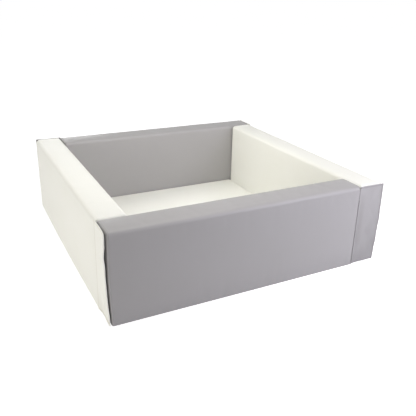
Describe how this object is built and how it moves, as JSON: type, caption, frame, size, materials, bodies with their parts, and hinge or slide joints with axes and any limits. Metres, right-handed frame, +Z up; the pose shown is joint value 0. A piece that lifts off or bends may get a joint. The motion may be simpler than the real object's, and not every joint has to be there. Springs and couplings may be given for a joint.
{
  "type": "ball pit",
  "caption": "Square foam ball pit for small children: padded leatherette walls joined in a pinwheel by hook-and-loop flaps, round a loose padded floor mat.",
  "frame": {"origin": "centre of the pit on the ground, under the floor mat", "axes": "+Z up; +Y from the front wall to the back wall; +X from the left wall to the right wall"},
  "size_m": [1.0044, 1.0044, 0.3018],
  "materials": {
    "grey_leatherette": "coated fabric, fine grain, satin",
    "ivory_leatherette": "coated fabric, fine grain, satin",
    "foam": "open-cell foam, cut",
    "grey_loop_tape": "brushed loop pile",
    "grey_hook_tape": "woven tape with moulded hooks",
    "ivory_loop_tape": "brushed loop pile",
    "ivory_hook_tape": "woven tape with moulded hooks",
    "zip_chain": "nylon coil on woven tape",
    "zip_metal": "nickel-plated casting"
  },
  "bodies": {
    "back_wall": {"back_foam_core": "foam", "back_cover": "grey_leatherette", "back_loop_tape": "grey_loop_tape", "back_zip_chain": "zip_chain"},
    "left_wall": {"left_foam_core": "foam", "left_cover": "ivory_leatherette", "left_loop_tape": "ivory_loop_tape", "left_zip_chain": "zip_chain"},
    "front_wall": {"front_foam_core": "foam", "front_cover": "grey_leatherette", "front_loop_tape": "grey_loop_tape", "front_zip_chain": "zip_chain"},
    "right_wall": {"right_foam_core": "foam", "right_cover": "ivory_leatherette", "right_loop_tape": "ivory_loop_tape", "right_zip_chain": "zip_chain"},
    "floor_mat": {"mat_foam_core": "foam", "mat_cover": "ivory_leatherette", "mat_zip_chain": "zip_chain"},
    "front_flap_leaf": {"front_flap": "grey_leatherette", "front_hook_tape": "grey_hook_tape"},
    "right_flap_leaf": {"right_flap": "ivory_leatherette", "right_hook_tape": "ivory_hook_tape"},
    "back_flap_leaf": {"back_flap": "grey_leatherette", "back_hook_tape": "grey_hook_tape"},
    "left_flap_leaf": {"left_flap": "ivory_leatherette", "left_hook_tape": "ivory_hook_tape"},
    "front_zip_runner": {"front_zip_slider": "zip_metal", "front_zip_pull": "zip_metal"},
    "right_zip_runner": {"right_zip_slider": "zip_metal", "right_zip_pull": "zip_metal"},
    "back_zip_runner": {"back_zip_slider": "zip_metal", "back_zip_pull": "zip_metal"},
    "left_zip_runner": {"left_zip_slider": "zip_metal", "left_zip_pull": "zip_metal"},
    "mat_zip_runner": {"mat_zip_slider": "zip_metal", "mat_zip_pull": "zip_metal"}
  },
  "joints": [
    {"name": "left_wall_swing", "type": "hinge", "parent": "back_wall", "child": "left_wall", "pos_m": [-0.39598, 0.4992, 0], "axis": [0, 0, 1], "range_deg": [-160, 0]},
    {"name": "front_wall_swing", "type": "hinge", "parent": "left_wall", "child": "front_wall", "pos_m": [-0.4992, -0.39598, 0], "axis": [0, 0, 1], "range_deg": [-160, 0]},
    {"name": "right_wall_pull_off", "type": "slide", "parent": "back_wall", "child": "right_wall", "axis": [1, 0, 0], "range_m": [0, 0.3]},
    {"name": "floor_mat_lift", "type": "slide", "parent": "back_wall", "child": "floor_mat", "axis": [0, 0, 1], "range_m": [0, 0.35]},
    {"name": "front_flap_peel", "type": "hinge", "parent": "front_wall", "child": "front_flap_leaf", "pos_m": [0.39598, -0.4992, 0], "axis": [0, 0, -1], "range_deg": [0, 160]},
    {"name": "right_flap_peel", "type": "hinge", "parent": "right_wall", "child": "right_flap_leaf", "pos_m": [0.4992, 0.39598, 0], "axis": [0, 0, -1], "range_deg": [0, 160]},
    {"name": "back_flap_peel", "type": "hinge", "parent": "left_wall", "child": "back_flap_leaf", "pos_m": [-0.39598, 0.4992, 0], "axis": [0, 0, -1], "range_deg": [0, 160]},
    {"name": "left_flap_peel", "type": "hinge", "parent": "front_wall", "child": "left_flap_leaf", "pos_m": [-0.4992, -0.39598, 0], "axis": [0, 0, -1], "range_deg": [0, 160]},
    {"name": "front_zip_run", "type": "slide", "parent": "front_wall", "child": "front_zip_runner", "axis": [1, 0, 0], "range_m": [0, 0.615]},
    {"name": "right_zip_run", "type": "slide", "parent": "right_wall", "child": "right_zip_runner", "axis": [0, 1, 0], "range_m": [0, 0.615]},
    {"name": "back_zip_run", "type": "slide", "parent": "back_wall", "child": "back_zip_runner", "axis": [-1, 0, 0], "range_m": [0, 0.615]},
    {"name": "left_zip_run", "type": "slide", "parent": "left_wall", "child": "left_zip_runner", "axis": [0, -1, 0], "range_m": [0, 0.615]},
    {"name": "mat_zip_run", "type": "slide", "parent": "floor_mat", "child": "mat_zip_runner", "axis": [1, 0, 0], "range_m": [0, 0.615]}
  ]
}
